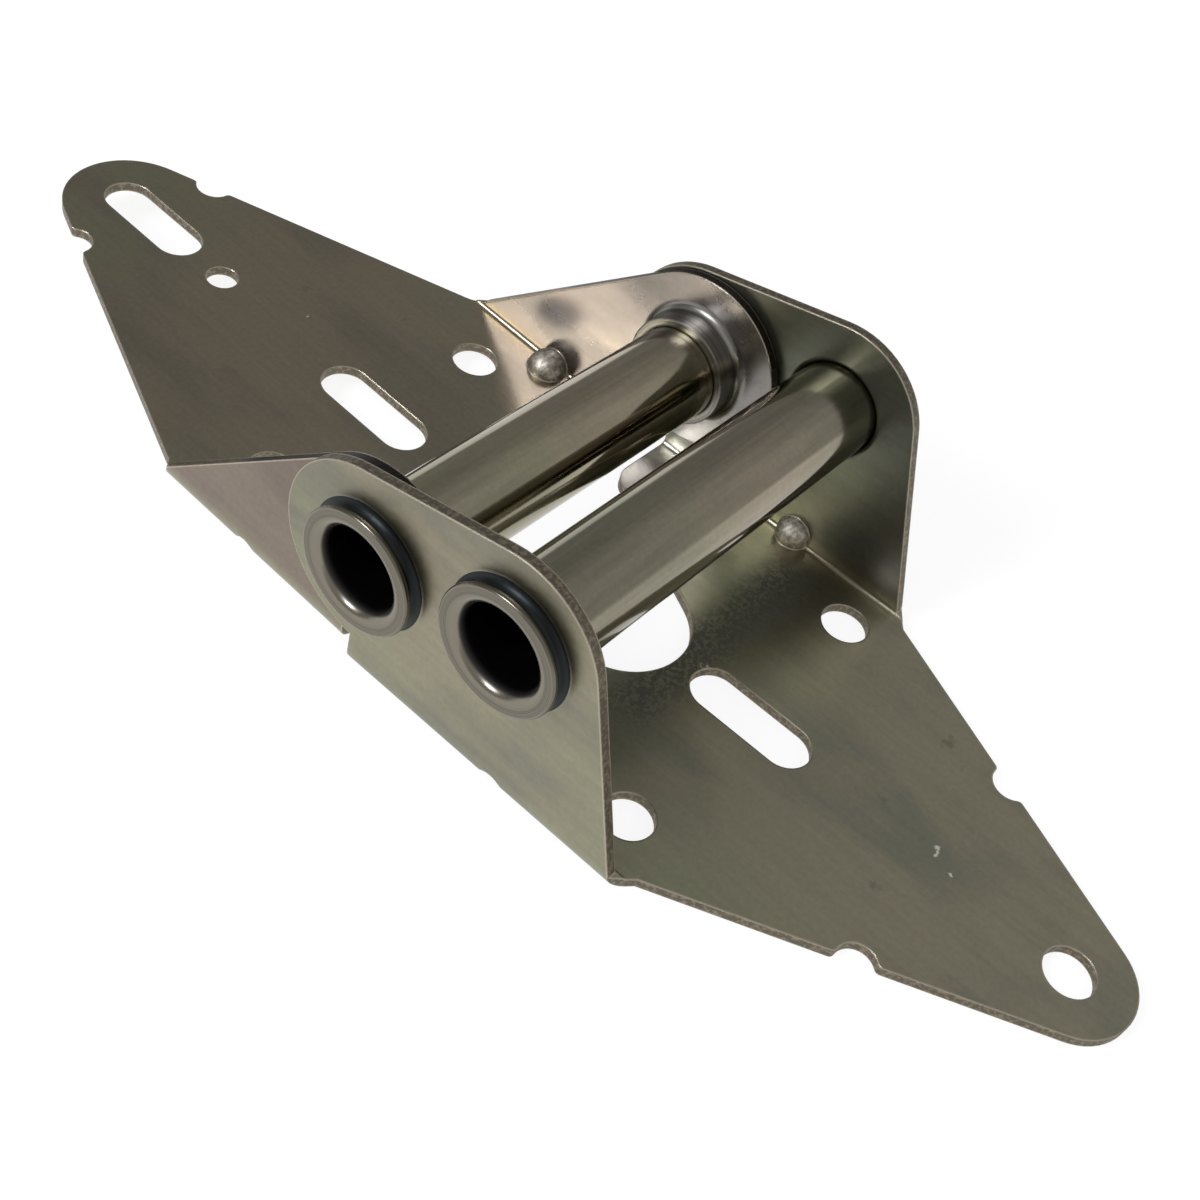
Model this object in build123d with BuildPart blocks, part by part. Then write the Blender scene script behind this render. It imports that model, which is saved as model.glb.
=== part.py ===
"""Double-tube steel garage door hinge, in millimetres.

Two leaves are stamped from zinc-plated sheet and folded, each with a pair of upright ears.
The ears of the plain leaf nest inside the ears of the roller leaf, and two rolled steel tubes
pass through them: the pivot tube, which the plain leaf turns on, and the roller tube behind it,
which takes the stem of a track roller.

The origin is the middle of the pivot axis. X runs along that axis, +Y points to the tip of the
plain leaf, and +Z points away from the door. Places along the leaves are measured from the
pivot axis.
"""
from build123d import *
import os
from math import asin, atan2, cos, hypot, sin

# Sheet that both leaves are folded from
sheet = 1.5
bend_inside = 0.8

# Tubes and the rolled lips at their ends
tube_diameter = 13.5
tube_wall = 1.0
lip_diameter = 17.3
lip_edge_round = 0.45
lip_mouth_round = 1.7

# Place of the pivot axis over the door face, and of the roller axis from it
pivot_height = 19.2
roller_rise = 5.9
roller_setback = 21.5

# Collars drawn out of the ears around the tubes
collar_wall = 1.15
collar_root_round = 1.3
collar_mouth_round = 0.9
seat_collar_height = 1.4
bearing_collar_height = 4.2
running_clearance = 0.07

# Roller leaf
hinge_width = 67.2
roller_ear_margin = 6.85
roller_corner_margin = 6.05
roller_ear_foot = 43.7
roller_corner_row = 42.9
roller_taper_row = 45.4
roller_taper_half = 30.6
roller_leaf_end = 1.0
roller_tip_centre = 90.2
roller_tip_radius = 8.7
tip_hole_diameter = 7.1
tip_hole_inset = 0.2
roller_slot_centre = 40.0
roller_side_hole_row = 39.0
roller_side_hole_half = 24.5
roller_notch_row = 70.5
window_radius = 9.8
window_centre = 17.5
window_mouth_half = 20.5
window_corner_round = 4.0

# Plain leaf, with its ears inside the roller leaf's
ear_play = 0.2
plain_ear_margin = 6.6
plain_ear_shift = 0.35
plain_leaf_start = 3.0
plain_ear_foot = 38.0
plain_corner_row = 37.0
plain_taper_row = 38.6
plain_taper_half = 30.15
plain_foot_end = 42.0
plain_tip_centre = 83.4
plain_tip_radius = 10.8
tip_slot_centre = 79.3
tip_slot_length = 18.8
small_hole_centre = 63.4
small_hole_diameter = 4.8
plain_slot_centre = 30.3
plain_side_hole_row = 29.2
plain_side_hole_half = 20.3
plain_notch_row = 81.0
leaf_tilt = 2.9

# Screw holes, slots and edge notches that both leaves share
screw_hole_diameter = 7.0
slot_width = 7.3
slot_length = 19.0
notch_radius = 2.75
notch_offset = 0.6
notch_corner_round = 0.8

# Round gussets pressed up across the bends, each with a dent behind it
roller_gusset_row = 23.9
roller_gusset_radius = 2.7
roller_gusset_lean = 0.0
roller_gusset_lift = 1.1
plain_gusset_row = 21.6
plain_gusset_radius = 3.1
plain_gusset_lean = 1.8
plain_gusset_lift = 0.0
dent_radius = 2.2

# Turn of these balls about Y, which keeps their poles off the faces that they cross
pole_turn = 45.0

tube_radius = tube_diameter / 2
bore_radius = tube_radius - tube_wall
lip_radius = lip_diameter / 2
door_face = -pivot_height
leaf_top = door_face + sheet
bend_outside = bend_inside + sheet
bend_top = door_face + bend_outside
roller_half = hinge_width / 2
plain_half = roller_half - sheet - ear_play
roller_ear_radius = tube_radius + roller_ear_margin
roller_corner_radius = tube_radius + roller_corner_margin
plain_ear_radius = tube_radius + plain_ear_margin
ear_top = roller_rise + roller_corner_radius + sheet
bearing_radius = tube_radius + running_clearance
pivot_axis = (0, 0)
roller_axis = (-roller_setback, roller_rise)
sides = (-1, 1)


def folded_channel(outer_half, y_low, y_high):
    """One sheet folded into a floor with two upright sides, running along Y."""
    height = ear_top - door_face
    with BuildPart() as channel:
        with BuildSketch(Plane.XZ.offset(-y_high)):
            with BuildSketch() as outside:
                with Locations((0, door_face + height / 2)):
                    Rectangle(2 * outer_half, height)
                fillet(outside.vertices().group_by(Axis.Y)[0], radius=bend_outside)
            with BuildSketch(mode=Mode.SUBTRACT) as inside:
                with Locations((0, leaf_top + height / 2)):
                    Rectangle(2 * (outer_half - sheet), height)
                fillet(inside.vertices().group_by(Axis.Y)[0], radius=bend_inside)
        extrude(amount=y_high - y_low)
    return channel.part


def drawn_collar(start_face, outward, tube_axis, height, hole_radius):
    """Collar drawn out of an ear: a rounded mouth, a straight wall and a filleted root.

    start_face is the x of the ear face that the metal is drawn away from, and outward is the
    sign of the side that the collar points to. The profile turns about the tube's axis.
    """
    wall_radius = hole_radius + collar_wall
    root_radius = wall_radius + collar_root_round
    rim = sheet + height
    profile_plane = Plane(
        origin=(start_face, tube_axis[0], tube_axis[1]),
        x_dir=(outward, 0, 0),
        z_dir=(0, -outward, 0),
    )
    with BuildPart() as collar:
        with BuildSketch(profile_plane):
            with BuildLine():
                Line((0, hole_radius + collar_mouth_round), (0, root_radius))
                Line((0, root_radius), (sheet, root_radius))
                CenterArc((sheet + collar_root_round, root_radius), collar_root_round, 180, 90)
                Line((sheet + collar_root_round, wall_radius), (rim, wall_radius))
                Line((rim, wall_radius), (rim, hole_radius))
                Line((rim, hole_radius), (collar_mouth_round, hole_radius))
                CenterArc(
                    (collar_mouth_round, hole_radius + collar_mouth_round), collar_mouth_round, 180, 90
                )
            make_face()
        revolve(axis=Axis((0, tube_axis[0], tube_axis[1]), (1, 0, 0)))
    return collar.part


def pressed_gusset(ear_inside, radius, lean, lift, row, side):
    """Round boss across a bend, on the inner faces of the leaf and the ear.

    Its ball is centred on the corner of those faces, moved by lean towards the middle of the
    leaf and by lift up the ear, and it is cut off half way through the sheet.
    """
    with BuildPart() as gusset:
        with Locations((side * (ear_inside - lean), row, leaf_top + lift)):
            Sphere(radius, rotation=(0, -side * pole_turn, 0))
        with Locations((side * (ear_inside + sheet / 2), row, leaf_top - sheet / 2)):
            Box(
                4 * radius, 2 * radius, 4 * radius,
                align=(Align.MAX if side > 0 else Align.MIN, Align.CENTER, Align.MIN),
                mode=Mode.INTERSECT,
            )
    return gusset.part


def rolled_tube(tube_axis):
    """Tube through both pairs of ears, with each end rolled out over a seat collar."""
    seat = roller_half + seat_collar_height
    end = seat + tube_wall
    with BuildPart() as tube:
        with BuildSketch(Plane((0, tube_axis[0], tube_axis[1]), x_dir=(1, 0, 0), z_dir=(0, -1, 0))):
            with BuildLine():
                Line((0, tube_radius), (0, bore_radius))
                Line((0, bore_radius), (end - lip_mouth_round, bore_radius))
                CenterArc(
                    (end - lip_mouth_round, bore_radius + lip_mouth_round), lip_mouth_round, 270, 90
                )
                Line((end, bore_radius + lip_mouth_round), (end, lip_radius - lip_edge_round))
                CenterArc((end - lip_edge_round, lip_radius - lip_edge_round), lip_edge_round, 0, 90)
                Line((end - lip_edge_round, lip_radius), (seat + lip_edge_round, lip_radius))
                CenterArc((seat + lip_edge_round, lip_radius - lip_edge_round), lip_edge_round, 90, 90)
                Line((seat, lip_radius - lip_edge_round), (seat, tube_radius))
                Line((seat, tube_radius), (0, tube_radius))
            make_face()
        revolve(axis=Axis((0, tube_axis[0], tube_axis[1]), (1, 0, 0)))
        mirror(about=Plane.YZ)
    return tube.part


def half_width(taper_row, taper_half, tip_centre, tip_radius, row):
    """Half width of a leaf at a row of its straight taper, which is tangent to the round tip."""
    length = tip_centre - taper_row
    slant = atan2(taper_half, length) - asin(tip_radius / hypot(taper_half, length))
    return (tip_radius + (tip_centre - row) * sin(slant)) / cos(slant)


def leaf_outline(
    channel_half, channel_end, corner_row, taper_row, taper_half, tip_centre, tip_radius,
    notch_row, pointing,
):
    """Plan of a leaf: a straight channel with corners cut, a taper with notches, a round tip."""
    notch_half = notch_offset + half_width(taper_row, taper_half, tip_centre, tip_radius, notch_row)
    with BuildSketch() as outline:
        with BuildSketch():
            with Locations((0, pointing * tip_centre)):
                Circle(tip_radius)
            with BuildLine():
                Line((-taper_half, pointing * taper_row), (taper_half, pointing * taper_row))
            make_hull()
        Polygon(
            (-channel_half, -pointing * channel_end),
            (channel_half, -pointing * channel_end),
            (channel_half, pointing * corner_row),
            (taper_half, pointing * taper_row),
            (-taper_half, pointing * taper_row),
            (-channel_half, pointing * corner_row),
            align=None,
        )
        for side in sides:
            with Locations((side * notch_half, pointing * notch_row)):
                Circle(notch_radius, mode=Mode.SUBTRACT)
        notch_corners = outline.vertices().filter_by(
            lambda v: hypot(abs(v.X) - notch_half, v.Y - pointing * notch_row) < notch_radius + sheet
        )
        fillet(notch_corners, radius=notch_corner_round)
    return outline.sketch


plan_plane = Plane.XY.offset(door_face - sheet)
plan_height = ear_top - door_face + 2 * sheet

roller_channel = folded_channel(roller_half, -roller_tip_centre - roller_tip_radius, roller_ear_radius)
roller_outline = leaf_outline(
    roller_half, roller_ear_radius, roller_corner_row, roller_taper_row, roller_taper_half,
    roller_tip_centre, roller_tip_radius, roller_notch_row, -1,
)
seat_collars = [
    drawn_collar(side * (roller_half - sheet), side, tube_axis, seat_collar_height, tube_radius)
    for side in sides
    for tube_axis in (pivot_axis, roller_axis)
]
roller_gussets = [
    pressed_gusset(
        roller_half - sheet, roller_gusset_radius, roller_gusset_lean, roller_gusset_lift,
        -roller_gusset_row, side,
    )
    for side in sides
]

with BuildPart() as roller_leaf:
    add(roller_channel)
    # Plan of the leaf, with its screw holes and slots
    with BuildSketch(plan_plane):
        add(roller_outline)
        with Locations((0, -roller_tip_centre + tip_hole_inset)):
            Circle(tip_hole_diameter / 2, mode=Mode.SUBTRACT)
        with Locations((0, -roller_slot_centre)):
            SlotOverall(slot_length, slot_width, rotation=90, mode=Mode.SUBTRACT)
        for side in sides:
            with Locations((side * roller_side_hole_half, -roller_side_hole_row)):
                Circle(screw_hole_diameter / 2, mode=Mode.SUBTRACT)
    extrude(amount=plan_height, mode=Mode.INTERSECT)
    # Side view: ear rounded about both tubes, its foot along the bend, and the flat leaf beyond
    with BuildSketch(Plane.YZ):
        with BuildSketch():
            with Locations(pivot_axis):
                Circle(roller_ear_radius)
            with Locations(roller_axis):
                Circle(roller_corner_radius)
            make_hull()
        with BuildSketch():
            with Locations(roller_axis):
                Circle(roller_corner_radius)
            with BuildLine():
                Line((-roller_ear_foot, door_face), (roller_leaf_end, door_face))
                Line((roller_leaf_end, door_face), (roller_leaf_end, 0))
            make_hull()
        Polygon(
            (0, door_face),
            (-roller_taper_row, door_face),
            (-roller_taper_row, leaf_top),
            (bend_outside - roller_ear_foot, bend_top),
            (0, bend_top),
            align=None,
        )
        with Locations((-roller_taper_row, door_face)):
            Rectangle(roller_tip_centre, bend_outside, align=(Align.MAX, Align.MIN))
    extrude(amount=hinge_width, both=True, mode=Mode.INTERSECT)
    # Window under the tubes, open towards the plain leaf
    with BuildSketch(plan_plane) as window:
        with BuildSketch():
            with Locations((0, -window_centre)):
                Circle(window_radius)
            with BuildLine():
                Line((-window_mouth_half, roller_leaf_end), (window_mouth_half, roller_leaf_end))
            make_hull()
        with Locations((0, roller_leaf_end)):
            Rectangle(2 * (roller_half - bend_outside), sheet, align=(Align.CENTER, Align.MIN))
        inner = window.vertices().filter_by(lambda v: abs(v.X) < window_mouth_half + sheet)
        fillet(inner.group_by(Axis.Y)[-1], radius=window_corner_round)
    extrude(amount=sheet + bend_outside, mode=Mode.SUBTRACT)
    # Outward collars, which the lips of the tubes seat on
    with BuildSketch(Plane.YZ):
        with Locations(pivot_axis, roller_axis):
            Circle(tube_radius + collar_wall + collar_root_round)
    extrude(amount=hinge_width, both=True, mode=Mode.SUBTRACT)
    add(seat_collars)
    # Gussets on the inside of the bends, and the dents behind them
    add(roller_gussets)
    for side in sides:
        with Locations((side * roller_half, -roller_gusset_row, door_face)):
            Sphere(dent_radius, rotation=(0, -side * pole_turn, 0), mode=Mode.SUBTRACT)

plain_channel = folded_channel(plain_half, -plain_ear_radius, plain_tip_centre + plain_tip_radius)
plain_outline = leaf_outline(
    plain_half, plain_ear_radius + plain_ear_shift, plain_corner_row, plain_taper_row,
    plain_taper_half, plain_tip_centre, plain_tip_radius, plain_notch_row, 1,
)
bearing_collars = [
    drawn_collar(side * plain_half, -side, pivot_axis, bearing_collar_height, bearing_radius)
    for side in sides
]
plain_gussets = [
    pressed_gusset(
        plain_half - sheet, plain_gusset_radius, plain_gusset_lean, plain_gusset_lift,
        plain_gusset_row, side,
    )
    for side in sides
]

# The plain leaf is made flat on the door face and then swung to the tilt it rests at
with BuildPart() as plain_leaf_flat:
    add(plain_channel)
    with BuildSketch(plan_plane):
        add(plain_outline)
        with Locations((0, tip_slot_centre)):
            SlotOverall(tip_slot_length, slot_width, rotation=90, mode=Mode.SUBTRACT)
        with Locations((0, small_hole_centre)):
            Circle(small_hole_diameter / 2, mode=Mode.SUBTRACT)
        with Locations((0, plain_slot_centre)):
            SlotOverall(slot_length, slot_width, rotation=90, mode=Mode.SUBTRACT)
        for side in sides:
            with Locations((side * plain_side_hole_half, plain_side_hole_row)):
                Circle(screw_hole_diameter / 2, mode=Mode.SUBTRACT)
    extrude(amount=plan_height, mode=Mode.INTERSECT)
    # Side view: ear rounded about the pivot tube, running straight down to the shoulder
    with BuildSketch(Plane.YZ):
        with BuildSketch():
            with Locations((-plain_ear_shift, 0)):
                Circle(plain_ear_radius)
            with BuildLine():
                Line((plain_ear_foot, door_face), (plain_ear_foot, leaf_top))
            make_hull()
            with Locations((plain_leaf_start, 0)):
                Rectangle(
                    plain_ear_foot, 2 * pivot_height,
                    align=(Align.MIN, Align.CENTER), mode=Mode.INTERSECT,
                )
        with Locations((-plain_ear_shift, 0)):
            Circle(plain_ear_radius)
        Polygon(
            (plain_leaf_start, door_face),
            (plain_foot_end, door_face),
            (plain_foot_end, leaf_top),
            (plain_ear_foot - bend_outside, bend_top),
            (plain_leaf_start, 0),
            align=None,
        )
        with Locations((plain_foot_end, door_face)):
            Rectangle(plain_tip_centre, bend_outside, align=(Align.MIN, Align.MIN))
    extrude(amount=hinge_width, both=True, mode=Mode.INTERSECT)
    # Inward collars, the plain leaf's bearings on the pivot tube
    with BuildSketch(Plane.YZ):
        Circle(bearing_radius + collar_wall + collar_root_round)
    extrude(amount=hinge_width, both=True, mode=Mode.SUBTRACT)
    add(bearing_collars)
    # Gussets on the inside of the bends, and the dents behind them
    add(plain_gussets)
    for side in sides:
        with Locations((side * plain_half, plain_gusset_row, door_face)):
            Sphere(dent_radius, rotation=(0, -side * pole_turn, 0), mode=Mode.SUBTRACT)

with BuildPart() as plain_leaf:
    add(plain_leaf_flat.part.rotate(Axis.X, leaf_tilt))

pivot_tube_body = rolled_tube(pivot_axis)
with BuildPart() as pivot_tube:
    add(pivot_tube_body)

roller_tube_body = rolled_tube(roller_axis)
with BuildPart() as roller_tube:
    add(roller_tube_body)

os.makedirs("parts", exist_ok=True)
roller_leaf.part.label = "roller_leaf"
export_step(roller_leaf.part, "parts/roller_leaf.step")
plain_leaf.part.label = "plain_leaf"
export_step(plain_leaf.part, "parts/plain_leaf.step")
pivot_tube.part.label = "pivot_tube"
export_step(pivot_tube.part, "parts/pivot_tube.step")
roller_tube.part.label = "roller_tube"
export_step(roller_tube.part, "parts/roller_tube.step")
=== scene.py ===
"""Double-tube garage door hinge: its zinc-plated finish, the studio floor, the light and camera.

Everything is in metres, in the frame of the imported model: the origin is the middle of the
pivot axis, X runs along it, +Y points to the plain leaf's tip and +Z away from the door.
"""
import math
import bpy
from mathutils import Matrix, Vector


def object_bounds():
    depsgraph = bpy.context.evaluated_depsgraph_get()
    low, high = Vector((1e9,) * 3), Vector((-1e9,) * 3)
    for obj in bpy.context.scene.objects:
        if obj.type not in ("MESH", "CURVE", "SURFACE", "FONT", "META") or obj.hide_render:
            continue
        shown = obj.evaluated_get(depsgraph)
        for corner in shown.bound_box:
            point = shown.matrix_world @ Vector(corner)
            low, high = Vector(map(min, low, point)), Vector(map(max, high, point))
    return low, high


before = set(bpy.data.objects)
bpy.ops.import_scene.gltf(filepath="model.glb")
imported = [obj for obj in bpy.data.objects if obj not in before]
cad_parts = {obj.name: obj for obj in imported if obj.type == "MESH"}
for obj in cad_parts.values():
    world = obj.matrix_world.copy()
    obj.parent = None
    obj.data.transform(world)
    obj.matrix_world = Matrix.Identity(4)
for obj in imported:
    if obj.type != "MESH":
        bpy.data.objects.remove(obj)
cad_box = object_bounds()


# Roller leaf
# The outer leaf, which carries the track roller: one 1.5 mm steel sheet, punched, folded into
# two ears and plated with zinc. The plating is a dull olive grey, cloudy along the sheet's
# rolling direction, and the sheared edges are darker and rougher than the faces.
def add_node(tree, kind, settings=None, **inputs):
    """Add a node, set its properties, then its inputs: a socket is linked, a value is written."""
    node = tree.nodes.new(kind)
    for name, value in (settings or {}).items():
        setattr(node, name, value)
    for name, value in inputs.items():
        key = int(name[1:]) if name[1:].isdigit() else name.replace("_", " ")
        if isinstance(value, bpy.types.NodeSocket):
            tree.links.new(value, node.inputs[key])
        else:
            node.inputs[key].default_value = value
    return node


def new_group(name, inputs, outputs):
    """Start a shader node group with the named sockets, and return its tree and both ends."""
    tree = bpy.data.node_groups.new(name, "ShaderNodeTree")
    for socket_name, kind, value in inputs:
        socket = tree.interface.new_socket(socket_name, in_out="INPUT", socket_type=kind)
        if value is not None:
            socket.default_value = value
    for socket_name, kind in outputs:
        tree.interface.new_socket(socket_name, in_out="OUTPUT", socket_type=kind)
    return tree, tree.nodes.new("NodeGroupInput").outputs, tree.nodes.new("NodeGroupOutput").inputs


def new_metal(name):
    """Start a fully metallic material, and return it with its tree and its shader."""
    material = bpy.data.materials.new(name)
    material.use_nodes = True
    shader = material.node_tree.nodes["Principled BSDF"]
    shader.inputs["Metallic"].default_value = 1.0
    return material, material.node_tree, shader


def ramp(tree, value, low, high, start=0.0, end=1.0):
    """Smooth step of a value: start below low, end above high."""
    node = add_node(
        tree, "ShaderNodeMapRange", {"interpolation_type": "SMOOTHSTEP"},
        Value=value, From_Min=low, From_Max=high, To_Min=start, To_Max=end,
    )
    return node.outputs["Result"]


def calculate(tree, operation, first, second=0.5, third=0.0):
    """One step of arithmetic on two or three values."""
    node = add_node(tree, "ShaderNodeMath", {"operation": operation}, _0=first, _1=second, _2=third)
    return node.outputs[0]


def rest_of(tree, mask):
    """One minus a mask."""
    return calculate(tree, "SUBTRACT", 1.0, mask)


def both(tree, first, second):
    """Product of two masks or values."""
    return calculate(tree, "MULTIPLY", first, second)


def distance(tree, first, second):
    """Root of the sum of the squares of two lengths at right angles."""
    return calculate(
        tree, "SQRT", calculate(tree, "MULTIPLY_ADD", first, first, both(tree, second, second))
    )


def noise(tree, place, scale, detail, roughness=0.5):
    """Fractal noise between 0 and 1, with scale cells to the metre."""
    node = add_node(
        tree, "ShaderNodeTexNoise", Vector=place, Scale=scale, Detail=detail, Roughness=roughness
    )
    return node.outputs[0]


def mapped(tree, vector, kind="POINT", **how):
    """A place or a direction, moved, turned or scaled."""
    return add_node(tree, "ShaderNodeMapping", {"vector_type": kind}, Vector=vector, **how).outputs[0]


def separate(tree, vector):
    """The X, Y and Z of a vector."""
    return add_node(tree, "ShaderNodeSeparateXYZ", Vector=vector).outputs


def blend_colours(tree, amount, first, second, how="MIX"):
    """Blend two colours by an amount."""
    node = add_node(
        tree, "ShaderNodeMix", {"data_type": "RGBA", "blend_type": how},
        _0=amount, _6=first, _7=second,
    )
    return node.outputs[2]


def darkened(tree, colour, level):
    """A colour times a grey of the given level."""
    grey = add_node(tree, "ShaderNodeCombineColor", Red=level, Green=level, Blue=level).outputs[0]
    return blend_colours(tree, 1.0, colour, grey, "MULTIPLY")


rolled_zinc, given, wanted = new_group(
    "rolled_zinc",
    [
        ("Place", "NodeSocketVector", None),
        ("Colour", "NodeSocketColor", (0.3, 0.27, 0.2, 1.0)),
        ("Cloud", "NodeSocketColor", (0.2, 0.19, 0.17, 1.0)),
        ("Roughness", "NodeSocketFloat", 0.25),
        ("Streaks", "NodeSocketFloat", 0.2),
    ],
    [("Colour", "NodeSocketColor"), ("Roughness", "NodeSocketFloat"), ("Height", "NodeSocketFloat")],
)
# Clouds 20 mm across, drawn out along the sheet, fine streaks, a mottle of 1 mm crystals, and
# a broad shift from brown to green
cloud_place = mapped(rolled_zinc, given["Place"], Scale=(60.0, 26.0, 60.0))
clouds = noise(rolled_zinc, cloud_place, 1.0, detail=4.0, roughness=0.55)
streak_place = mapped(rolled_zinc, given["Place"], Scale=(900.0, 40.0, 900.0))
streaks = noise(rolled_zinc, streak_place, 1.0, detail=3.0, roughness=0.6)
crystals = noise(rolled_zinc, given["Place"], 1300.0, detail=2.0)
cloud_amount = ramp(rolled_zinc, clouds, low=0.42, high=0.66)
streak_tone = calculate(rolled_zinc, "SUBTRACT", streaks, 0.5)
tone = calculate(rolled_zinc, "MULTIPLY_ADD", streak_tone, given["Streaks"], 1.0)
crystal_contrast = 0.24
speckle = calculate(
    rolled_zinc, "MULTIPLY_ADD", crystals, crystal_contrast, 1.0 - 0.5 * crystal_contrast
)
broad = noise(rolled_zinc, given["Place"], 22.0, detail=1.0, roughness=0.4)
browner = (1.04, 0.98, 0.985, 1.0)
greener = (0.96, 1.0, 0.95, 1.0)
hue = blend_colours(rolled_zinc, ramp(rolled_zinc, broad, low=0.36, high=0.64), browner, greener)
hued = blend_colours(rolled_zinc, 1.0, given["Colour"], hue, "MULTIPLY")
cloudy = blend_colours(rolled_zinc, cloud_amount, hued, given["Cloud"])
zinc_colour = darkened(rolled_zinc, cloudy, both(rolled_zinc, tone, speckle))
rolled_zinc.links.new(zinc_colour, wanted["Colour"])
cloud_dulling = 0.07
crystal_dulling = 0.06
dulled = calculate(rolled_zinc, "MULTIPLY_ADD", cloud_amount, cloud_dulling, given["Roughness"])
dulled = calculate(rolled_zinc, "MULTIPLY_ADD", crystals, crystal_dulling, dulled)
rolled_zinc.links.new(dulled, wanted["Roughness"])
streak_height = 0.5
zinc_height = calculate(rolled_zinc, "MULTIPLY_ADD", streaks, streak_height, crystals)
rolled_zinc.links.new(zinc_height, wanted["Height"])

sheared_edge, given, wanted = new_group(
    "sheared_edge",
    [
        ("Place", "NodeSocketVector", None),
        ("Facing", "NodeSocketVector", None),
        ("Floor half width", "NodeSocketFloat", 0.03),
        ("Ear half width", "NodeSocketFloat", 0.032),
        ("Gusset place", "NodeSocketVector", None),
        ("Gusset size", "NodeSocketFloat", 0.003),
    ],
    [
        ("Mask", "NodeSocketFloat"), ("Collar", "NodeSocketFloat"), ("Gusset", "NodeSocketFloat"),
        ("Arris", "NodeSocketFloat"), ("Outside", "NodeSocketFloat"), ("Lines", "NodeSocketFloat"),
        ("Rounded normal", "NodeSocketVector"),
    ],
)
# The faces across the sheet: those that stand upright in the flat leaf, and those that
# don't face along X in the ears; in the bends they are the ones that face along Y. Nothing
# inside the channel counts, which leaves out the gussets, and near a tube such faces are the
# drawn collar's instead.
tube_axes = ((0.0, 0.0), (-0.0215, 0.0059))
sheet_top = -0.0176
bend_top = -0.0168
ear_wall = 0.00163
collar_rim = 0.0089
collar_foot = 0.0094
clear_of_collar = 0.0100
turned_from = 0.3
place = separate(sheared_edge, given["Place"])
facing = separate(sheared_edge, given["Facing"])
across = calculate(sheared_edge, "ABSOLUTE", place["X"])
up = calculate(sheared_edge, "ABSOLUTE", facing["Z"])
sideways = calculate(sheared_edge, "ABSOLUTE", facing["X"])
along = calculate(sheared_edge, "ABSOLUTE", facing["Y"])
in_floor = calculate(sheared_edge, "LESS_THAN", across, given["Floor half width"])
in_ear = calculate(sheared_edge, "GREATER_THAN", across, given["Ear half width"])
upright = calculate(sheared_edge, "LESS_THAN", up, turned_from)
not_sideways = calculate(sheared_edge, "LESS_THAN", sideways, turned_from)
facing_along = calculate(sheared_edge, "GREATER_THAN", along, turned_from)
above_bend = calculate(sheared_edge, "GREATER_THAN", place["Z"], bend_top)
above_sheet = calculate(sheared_edge, "GREATER_THAN", place["Z"], sheet_top)
floor_edge = both(sheared_edge, in_floor, upright)
ear_edge = both(sheared_edge, both(sheared_edge, in_ear, not_sideways), above_bend)
either_edge = calculate(sheared_edge, "MAXIMUM", floor_edge, ear_edge)
any_edge = calculate(sheared_edge, "MAXIMUM", either_edge, facing_along)
beside_ear = rest_of(sheared_edge, in_ear)
in_channel = both(sheared_edge, above_sheet, beside_ear)
edge = both(sheared_edge, any_edge, rest_of(sheared_edge, in_channel))
nearness = [
    distance(
        sheared_edge,
        calculate(sheared_edge, "SUBTRACT", place["Z"], tube_z),
        calculate(sheared_edge, "SUBTRACT", place["Y"], tube_y),
    )
    for tube_y, tube_z in tube_axes
]
nearest = calculate(sheared_edge, "MINIMUM", *nearness)
away = calculate(sheared_edge, "GREATER_THAN", nearest, clear_of_collar)
sheared_edge.links.new(both(sheared_edge, edge, away), wanted["Mask"])
# The collar is what stands off the ear's wall near a tube
wall_face = calculate(sheared_edge, "ADD", given["Ear half width"], ear_wall)
within_wall = calculate(sheared_edge, "LESS_THAN", across, wall_face)
off_wall = rest_of(sheared_edge, both(sheared_edge, in_ear, within_wall))
near_tube = ramp(sheared_edge, nearest, low=collar_rim, high=collar_foot, start=1.0, end=0.0)
sheared_edge.links.new(both(sheared_edge, off_wall, near_tube), wanted["Collar"])
# A gusset is whatever of the leaf lies on its ball
mirrored = add_node(
    sheared_edge, "ShaderNodeCombineXYZ", X=across, Y=place["Y"], Z=place["Z"]
).outputs[0]
to_gusset = add_node(
    sheared_edge, "ShaderNodeVectorMath", {"operation": "DISTANCE"},
    _0=mirrored, _1=given["Gusset place"],
).outputs["Value"]
on_ball = calculate(sheared_edge, "LESS_THAN", to_gusset, given["Gusset size"])
sheared_edge.links.new(both(sheared_edge, on_ball, beside_ear), wanted["Gusset"])
# The arris is where the rounded normal leaves the flat one, away from the drawn collars
arris_radius = 0.0004
rounded = add_node(
    sheared_edge, "ShaderNodeBevel", {"samples": 6}, Radius=arris_radius
).outputs[0]
flat = add_node(sheared_edge, "ShaderNodeNewGeometry").outputs["True Normal"]
agreement = add_node(
    sheared_edge, "ShaderNodeVectorMath", {"operation": "DOT_PRODUCT"}, _0=rounded, _1=flat
).outputs["Value"]
turned = ramp(sheared_edge, agreement, low=0.90, high=0.985, start=1.0, end=0.0)
sheared_edge.links.new(both(sheared_edge, turned, away), wanted["Arris"])
sheared_edge.links.new(rounded, wanted["Rounded normal"])
# Fine lines round the tubes, left by the drawing punch, and the outer faces of the ears
lines_to_the_metre = 2600.0
line_place = add_node(
    sheared_edge, "ShaderNodeCombineXYZ",
    X=both(sheared_edge, nearest, lines_to_the_metre),
    Y=both(sheared_edge, across, lines_to_the_metre),
).outputs[0]
sheared_edge.links.new(noise(sheared_edge, line_place, 1.0, detail=1.0), wanted["Lines"])
outward = both(sheared_edge, facing["X"], place["X"])
outward_enough = 0.01
outside = calculate(sheared_edge, "GREATER_THAN", outward, outward_enough)
sheared_edge.links.new(outside, wanted["Outside"])


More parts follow.
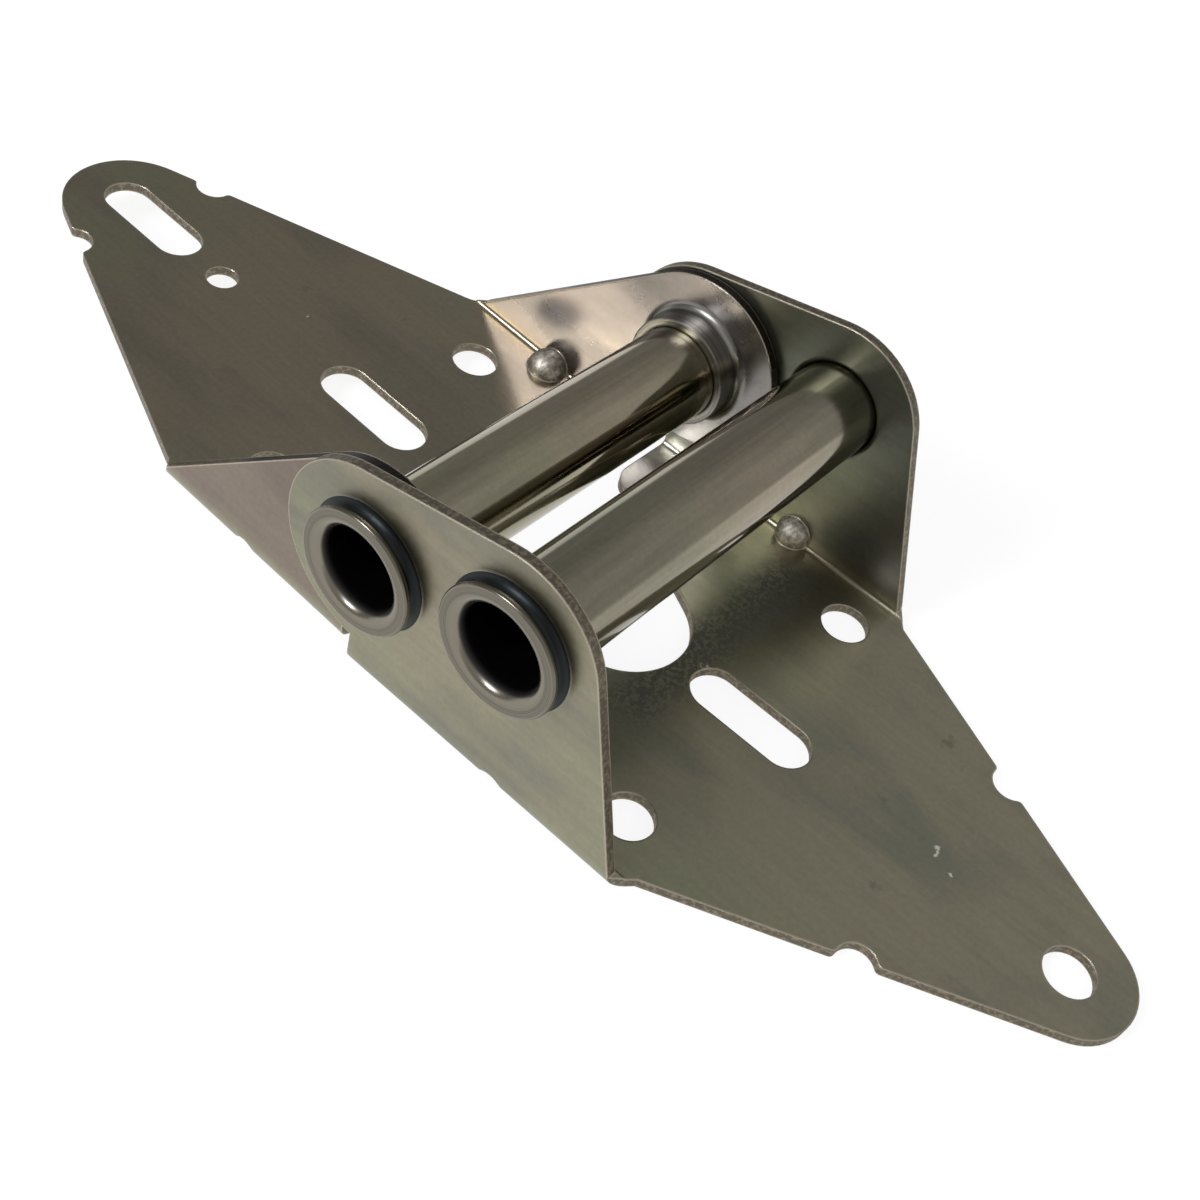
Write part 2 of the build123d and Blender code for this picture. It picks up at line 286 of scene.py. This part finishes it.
def spots(tree, place, marks):
    """Mask of ragged marks, each given by the x, y and radius of its place on the leaf."""
    raggedness = 0.004
    ragged = add_node(
        tree, "ShaderNodeTexNoise", Vector=place, Scale=500.0, Detail=2.0, Roughness=0.6
    ).outputs["Color"]
    shift = add_node(
        tree, "ShaderNodeVectorMath", {"operation": "MULTIPLY_ADD"},
        _0=ragged, _1=(raggedness, raggedness, 0.0), _2=(-0.5 * raggedness, -0.5 * raggedness, 0.0),
    ).outputs["Vector"]
    shifted = add_node(
        tree, "ShaderNodeVectorMath", {"operation": "ADD"}, _0=place, _1=shift
    ).outputs["Vector"]
    parts = separate(tree, shifted)
    mask = 0.0
    for x, y, radius in marks:
        beside = calculate(tree, "SUBTRACT", parts["X"], x)
        beyond = calculate(tree, "SUBTRACT", parts["Y"], y)
        from_middle = distance(tree, beside, beyond)
        mark = ramp(tree, from_middle, low=0.3 * radius, high=radius, start=1.0, end=0.0)
        mask = calculate(tree, "MAXIMUM", mask, mark)
    return mask


def crystal_band(tree, place, middle_x, row_y, half_length):
    """Mask of a row of coarse crystals along X, left where the plating bath drained."""
    moved = separate(tree, mapped(tree, place, Location=(-middle_x, -row_y, 0.0)))
    off_row = calculate(tree, "ABSOLUTE", moved["Y"])
    along_row = calculate(tree, "ABSOLUTE", moved["X"])
    across_band = ramp(tree, off_row, low=0.0010, high=0.0060, start=1.0, end=0.0)
    along_band = ramp(tree, along_row, low=0.7 * half_length, high=half_length, start=1.0, end=0.0)
    grain = ramp(
        tree, noise(tree, place, 1500.0, detail=2.0, roughness=0.6),
        low=0.42, high=0.54, start=0.15, end=1.0,
    )
    return both(tree, both(tree, across_band, along_band), grain)


def leaf_material(
    name, colour, cloud, roughness, ear_shade_tints, turn, floor_half, ear_half, gusset, collar_colour_and_shade,
    marks, scrapes_and_highlights, crust=None, rim_painted_shade=0.0,
):
    """Plated sheet: zinc on the faces, dull sheared edges with a painted highlight on the arris, a
    collar whose colour on the roller leaf is painted shade.

    turn is the leaf's tilt about X, which its pattern and its edge masks follow. floor_half
    and ear_half are where the flat leaf ends and the ears start across the hinge.
    ear_shade_tints are painted light and shade on the inner and outer faces of the ears, and
    gusset is its ball's place and size. marks are dark stains on the flat, and
    scrapes_and_highlights are scraped bright spots there, the larger ones a painted highlight.
    crust is the middle, row and half length of a band of coarse crystals, and rim_painted_shade
    paints the ears' rims black as shade.
    """
    material, tree, shader = new_metal(name)
    coordinates = add_node(tree, "ShaderNodeTexCoord").outputs
    place = mapped(tree, coordinates["Object"], Rotation=(-turn, 0.0, 0.0))
    facing = mapped(tree, coordinates["Normal"], "VECTOR", Rotation=(-turn, 0.0, 0.0))
    zinc = add_node(
        tree, "ShaderNodeGroup", {"node_tree": rolled_zinc},
        Place=place, Colour=colour, Cloud=cloud, Roughness=roughness, Streaks=0.25,
    ).outputs
    edge = add_node(
        tree, "ShaderNodeGroup", {"node_tree": sheared_edge},
        Place=place, Facing=facing, Floor_half_width=floor_half, Ear_half_width=ear_half,
        Gusset_place=gusset[:3], Gusset_size=gusset[3],
    ).outputs
    # Faces: the ears get painted light and shade by which way they face, and the flat is stained,
    # scraped and crusted, with a painted highlight among the scrapes
    height_in_leaf = separate(tree, place)["Z"]
    in_ears = ramp(tree, height_in_leaf, low=-0.0172, high=-0.0150)
    on_flat = rest_of(tree, in_ears)
    ear_face_shade = blend_colours(tree, edge["Outside"], *ear_shade_tints)
    ear_zinc_shaded = blend_colours(tree, 1.0, zinc["Colour"], ear_face_shade, "MULTIPLY")
    plain_faces = blend_colours(tree, in_ears, zinc["Colour"], ear_zinc_shaded)
    stain_noise = noise(tree, place, 420.0, detail=3.0, roughness=0.6)
    stain = both(tree, spots(tree, place, marks), ramp(tree, stain_noise, low=0.35, high=0.62))
    stain_depth = 0.55
    stained = both(tree, stain, stain_depth)
    if crust:
        crusted = both(tree, crystal_band(tree, place, *crust), on_flat)
        stained = calculate(tree, "MAXIMUM", stained, crusted)
    stain_colour = (0.17, 0.168, 0.14, 1.0)
    stained_faces = blend_colours(tree, stained, plain_faces, stain_colour)
    # Scrapes are bare metal; the large spots beside the roller leaf's window are a painted highlight
    # in the same colour
    scraped_and_lit = both(tree, spots(tree, place, scrapes_and_highlights), on_flat)
    bare_metal_and_highlight = (0.85, 0.82, 0.74, 1.0)
    faces = blend_colours(tree, scraped_and_lit, stained_faces, bare_metal_and_highlight)
    # Collars, with the punch's lines (on the roller leaf near black, as painted shade), and the
    # gussets
    line_contrast = 1.6
    line_level = calculate(tree, "MULTIPLY_ADD", edge["Lines"], line_contrast, 0.2)
    collar = darkened(tree, collar_colour_and_shade, line_level)
    with_collar = blend_colours(tree, edge["Collar"], faces, collar)
    fine_noise = noise(tree, place, 1700.0, detail=2.0, roughness=0.6)
    pressed_dark = (0.40, 0.365, 0.30, 1.0)
    pressed_light = (0.66, 0.61, 0.51, 1.0)
    pressed = blend_colours(
        tree, ramp(tree, fine_noise, low=0.40, high=0.62), pressed_dark, pressed_light
    )
    with_gusset = blend_colours(tree, edge["Gusset"], with_collar, pressed)
    # Sheared edges, a painted highlight on their arrises, and painted shade blackening the ears' rims
    torn_dark = (0.150, 0.130, 0.095, 1.0)
    torn_light = (0.27, 0.235, 0.175, 1.0)
    torn = blend_colours(tree, ramp(tree, fine_noise, low=0.44, high=0.66), torn_dark, torn_light)
    # Painted shade: on the plain leaf the ears' rims go black where the gap between the ears lies in
    # shadow
    on_rim = ramp(tree, height_in_leaf, low=-0.0060, high=-0.0020, end=rim_painted_shade)
    rim_shade_black = (0.012, 0.011, 0.010, 1.0)
    rim_shaded_edge = blend_colours(tree, on_rim, torn, rim_shade_black)
    with_edge = blend_colours(tree, edge["Mask"], with_gusset, rim_shaded_edge)
    # Painted highlight: the arris is lighter, standing in for the glint of a rounded edge
    arris_highlight_colour = (0.56, 0.50, 0.39, 1.0)
    with_arris = blend_colours(tree, edge["Arris"], with_edge, arris_highlight_colour)
    tree.links.new(with_arris, shader.inputs["Base Color"])
    # Edges, stains and gussets are duller than the plated faces
    dull = zinc["Roughness"]
    for where, extra in ((edge["Mask"], 0.22), (stained, 0.25), (edge["Gusset"], 0.22)):
        dull = calculate(tree, "MULTIPLY_ADD", where, extra, dull)
    tree.links.new(dull, shader.inputs["Roughness"])
    gusset_relief = 12.0
    relief = calculate(
        tree, "MULTIPLY_ADD", both(tree, edge["Gusset"], fine_noise), gusset_relief, zinc["Height"]
    )
    bump = add_node(
        tree, "ShaderNodeBump", Strength=0.16, Distance=0.00002,
        Height=relief, Normal=edge["Rounded normal"],
    ).outputs[0]
    tree.links.new(bump, shader.inputs["Normal"])
    return material


def dress(node, material):
    """Give a CAD node its only material."""
    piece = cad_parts[node]
    piece.data.materials.clear()
    piece.data.materials.append(material)


dress("roller_leaf", leaf_material(
    "zinc_roller_leaf",
    colour=(0.325, 0.315, 0.225, 1.0), cloud=(0.25, 0.247, 0.19, 1.0), roughness=0.31,
    # Ear tints: painted shade darkens the inner faces, and the outer faces a little
    ear_shade_tints=((0.60, 0.62, 0.68, 1.0), (0.90, 0.88, 0.88, 1.0)),
    turn=0.0, floor_half=0.0312, ear_half=0.0320,
    gusset=(0.0321, -0.0239, -0.0166, 0.00275),
    # Near black: partly the collar's own dark blue-grey, mostly painted shade under the rolled lips
    collar_colour_and_shade=(0.024, 0.027, 0.027, 1.0),
    marks=[
        (0.0185, -0.0609, 0.0017), (0.0160, -0.0640, 0.0010), (0.0027, -0.0594, 0.0009),
        (-0.0085, -0.0660, 0.0012), (-0.0281, -0.0531, 0.0012), (-0.0120, -0.0800, 0.0010),
    ],
    scrapes_and_highlights=[
        (0.0016, -0.0688, 0.0006), (0.0003, -0.0727, 0.0005), (0.0023, -0.0303, 0.0006),
        # The three large spots on the next line, beside the window, are a painted highlight; the rest
        # are scrapes
        (0.0305, -0.0022, 0.0036), (0.0225, -0.0026, 0.0062), (0.0270, -0.0016, 0.0052),
    ],
    crust=(0.007, -0.0285, 0.024),
))

# Plain leaf
# The inner leaf, folded from the same sheet, whose ears turn on the pivot tube between the
# roller leaf's ears. Its plating is a little warmer and clouded by the heat of drawing. Its ears'
# faces carry painted light and shade, and its rims are painted black as the shade of the gap
# where they run inside the outer ears.
dress("plain_leaf", leaf_material(
    "zinc_plain_leaf",
    colour=(0.31, 0.28, 0.207, 1.0), cloud=(0.255, 0.228, 0.175, 1.0), roughness=0.19,
    # Ear tints: a painted cool reflection brightens the inner faces, and painted shade darkens the
    # outer
    ear_shade_tints=((0.94, 0.98, 1.24, 1.0), (0.76, 0.66, 0.74, 1.0)),
    turn=math.radians(2.9), floor_half=0.0295, ear_half=0.0303,
    gusset=(0.0286, 0.0216, -0.0177, 0.00315),
    collar_colour_and_shade=(0.25, 0.24, 0.21, 1.0),
    marks=[
        (-0.012, 0.047, 0.0012), (0.009, 0.055, 0.0010),
        (-0.006, 0.071, 0.0009), (0.017, 0.041, 0.0009),
    ],
    scrapes_and_highlights=[(0.0052, 0.0505, 0.0004)],
    rim_painted_shade=0.9,
))


# Pivot tube
# A steel tube through all four ears, with its ends rolled out over the collars. The plating
# is smoother than on the sheet, satin where the roller burnished the lips, and the bore is
# painted near black as shade.
def tube_material(name, axis_y, axis_z, colour):
    """Plated tube along X: burnished lips and a bore painted near black as shade, told apart by the
    radius.
    """
    lip_start, lip_end = 0.0335, 0.0349
    bore_radius, bore_edge = 0.0059, 0.0062
    funnel_radius, funnel_edge = 0.0068, 0.0076
    rings_to_the_metre = 5200.0
    material, tree, shader = new_metal(name)
    coordinates = add_node(tree, "ShaderNodeTexCoord").outputs
    centred = mapped(tree, coordinates["Object"], Location=(0.0, -axis_y, -axis_z))
    lengthways = mapped(tree, centred, Rotation=(0.0, 0.0, math.radians(90)))
    zinc = add_node(
        tree, "ShaderNodeGroup", {"node_tree": rolled_zinc},
        Place=lengthways, Colour=colour, Cloud=tuple(0.86 * part for part in colour[:3]) + (1.0,),
        Roughness=0.05, Streaks=0.6,
    ).outputs
    parts = separate(tree, centred)
    radius = distance(tree, parts["Z"], parts["Y"])
    along = calculate(tree, "ABSOLUTE", parts["X"])
    on_lip = ramp(tree, along, low=lip_start, high=lip_end)
    inside = ramp(tree, radius, low=bore_radius, high=bore_edge, start=1.0, end=0.0)
    in_funnel = ramp(tree, radius, low=funnel_radius, high=funnel_edge, start=1.0, end=0.0)
    ring_place = add_node(
        tree, "ShaderNodeCombineXYZ", X=both(tree, radius, rings_to_the_metre)
    ).outputs[0]
    rings = noise(tree, ring_place, 1.0, detail=1.0)
    ring_dark = (0.125, 0.112, 0.086, 1.0)
    ring_light = (0.225, 0.205, 0.165, 1.0)
    rolled_rim = blend_colours(tree, ramp(tree, rings, low=0.35, high=0.65), ring_dark, ring_light)
    funnel_colour = (0.23, 0.21, 0.165, 1.0)
    burnished = blend_colours(tree, in_funnel, rolled_rim, funnel_colour)
    outside = blend_colours(tree, on_lip, zinc["Colour"], burnished)
    # Painted shade: the bore is near black, as no light reaches into it
    bore_shade_colour = (0.055, 0.052, 0.048, 1.0)
    tree.links.new(blend_colours(tree, inside, outside, bore_shade_colour), shader.inputs["Base Color"])
    dull = zinc["Roughness"]
    for where, extra in ((on_lip, 0.17), (inside, 0.25)):
        dull = calculate(tree, "MULTIPLY_ADD", where, extra, dull)
    tree.links.new(dull, shader.inputs["Roughness"])
    bump = add_node(
        tree, "ShaderNodeBump", Strength=0.08, Distance=0.00002, Height=zinc["Height"]
    ).outputs[0]
    tree.links.new(bump, shader.inputs["Normal"])
    return material


dress("pivot_tube", tube_material(
    "zinc_pivot_tube", axis_y=0.0, axis_z=0.0, colour=(0.335, 0.305, 0.225, 1.0),
))

# Roller tube
# The same tube further from the door, through the roller leaf's ears only. The stem of the
# track roller turns in it.
dress("roller_tube", tube_material(
    "zinc_roller_tube", axis_y=-0.0215, axis_z=0.0059, colour=(0.285, 0.262, 0.199, 1.0),
))


# Floor
# A plain white sheet under the hinge. The camera and the metal see it white, and it keeps
# the hinge's shadow: it glows only as much as the lamps leave it short of white.
floor_half = 3.0
under_hinge = 0.0001
paper_grey = 0.18
paper_glow = 0.88
bpy.ops.mesh.primitive_plane_add(
    size=2 * floor_half, location=(0, 0, cad_box[0].z - under_hinge)
)
floor = bpy.context.object
floor.name = "floor"
floor_finish = bpy.data.materials.new("white_paper")
floor_finish.use_nodes = True
paper = floor_finish.node_tree
paper_shader = paper.nodes["Principled BSDF"]
paper_shader.inputs["Base Color"].default_value = (paper_grey, paper_grey, paper_grey, 1.0)
paper_shader.inputs["Roughness"].default_value = 0.9
paper_shader.inputs["Emission Color"].default_value = (1.0, 1.0, 1.0, 1.0)
ray = add_node(paper, "ShaderNodeLightPath").outputs
mirrored_ray = calculate(paper, "MAXIMUM", ray["Is Glossy Ray"], ray["Is Transmission Ray"])
seen = calculate(paper, "MAXIMUM", ray["Is Camera Ray"], mirrored_ray)
paper.links.new(both(paper, seen, paper_glow), paper_shader.inputs["Emission Strength"])
floor.data.materials.append(floor_finish)

# Camera
# It stands where the photograph was taken from: left of the hinge, behind the roller leaf.
camera_place = Vector((-0.13003, -0.07939, 0.13486))
camera_right = Vector((0.63353, -0.74214, 0.21881)).normalized()
camera_ahead = Vector((0.61521, 0.31166, -0.72415)).normalized()
camera_up = camera_right.cross(camera_ahead)
camera_turn = Matrix((camera_right, camera_up, -camera_ahead)).transposed().to_4x4()
camera = bpy.data.objects.new("camera", bpy.data.cameras.new("camera"))
camera.data.lens = 46.404
camera.data.sensor_width = 36.0
camera.data.clip_start = 0.005
camera.matrix_world = Matrix.Translation(camera_place) @ camera_turn
bpy.context.scene.collection.objects.link(camera)
bpy.context.scene.camera = camera

# Light
# A dim room that grows white towards the horizon, and one soft box at the left behind the
# plain leaf, which the ears and tubes mirror as streaks.
horizon_level = 0.95
roller_side_level = 0.56
plain_side_level = 0.30
world = bpy.data.worlds.new("studio")
world.use_nodes = True
room = world.node_tree
heading = separate(room, add_node(room, "ShaderNodeTexCoord").outputs["Generated"])
above = ramp(
    room, heading["Y"], low=-0.5, high=0.6, start=roller_side_level, end=plain_side_level
)
level = ramp(room, heading["Z"], low=0.0, high=0.1, start=horizon_level, end=above)
room.links.new(level, room.nodes["Background"].inputs["Strength"])
room.nodes["Background"].inputs["Color"].default_value = (1.0, 1.0, 1.0, 1.0)
bpy.context.scene.world = world
bpy.context.scene.view_settings.view_transform = "Standard"

box_azimuth = math.radians(153)
box_elevation = math.radians(40)
box_distance = 0.8
soft_box = bpy.data.objects.new("soft_box", bpy.data.lights.new("soft_box", "AREA"))
soft_box.data.shape = "RECTANGLE"
soft_box.data.energy = 3.4
soft_box.data.color = (0.94, 0.97, 1.06)
soft_box.data.size = 0.2
soft_box.data.size_y = 0.28
from_hinge = Vector((
    math.cos(box_azimuth) * math.cos(box_elevation),
    math.sin(box_azimuth) * math.cos(box_elevation),
    math.sin(box_elevation),
))
box_turn = from_hinge.to_track_quat("Z", "Y").to_matrix().to_4x4()
soft_box.matrix_world = Matrix.Translation(box_distance * from_hinge) @ box_turn
bpy.context.scene.collection.objects.link(soft_box)
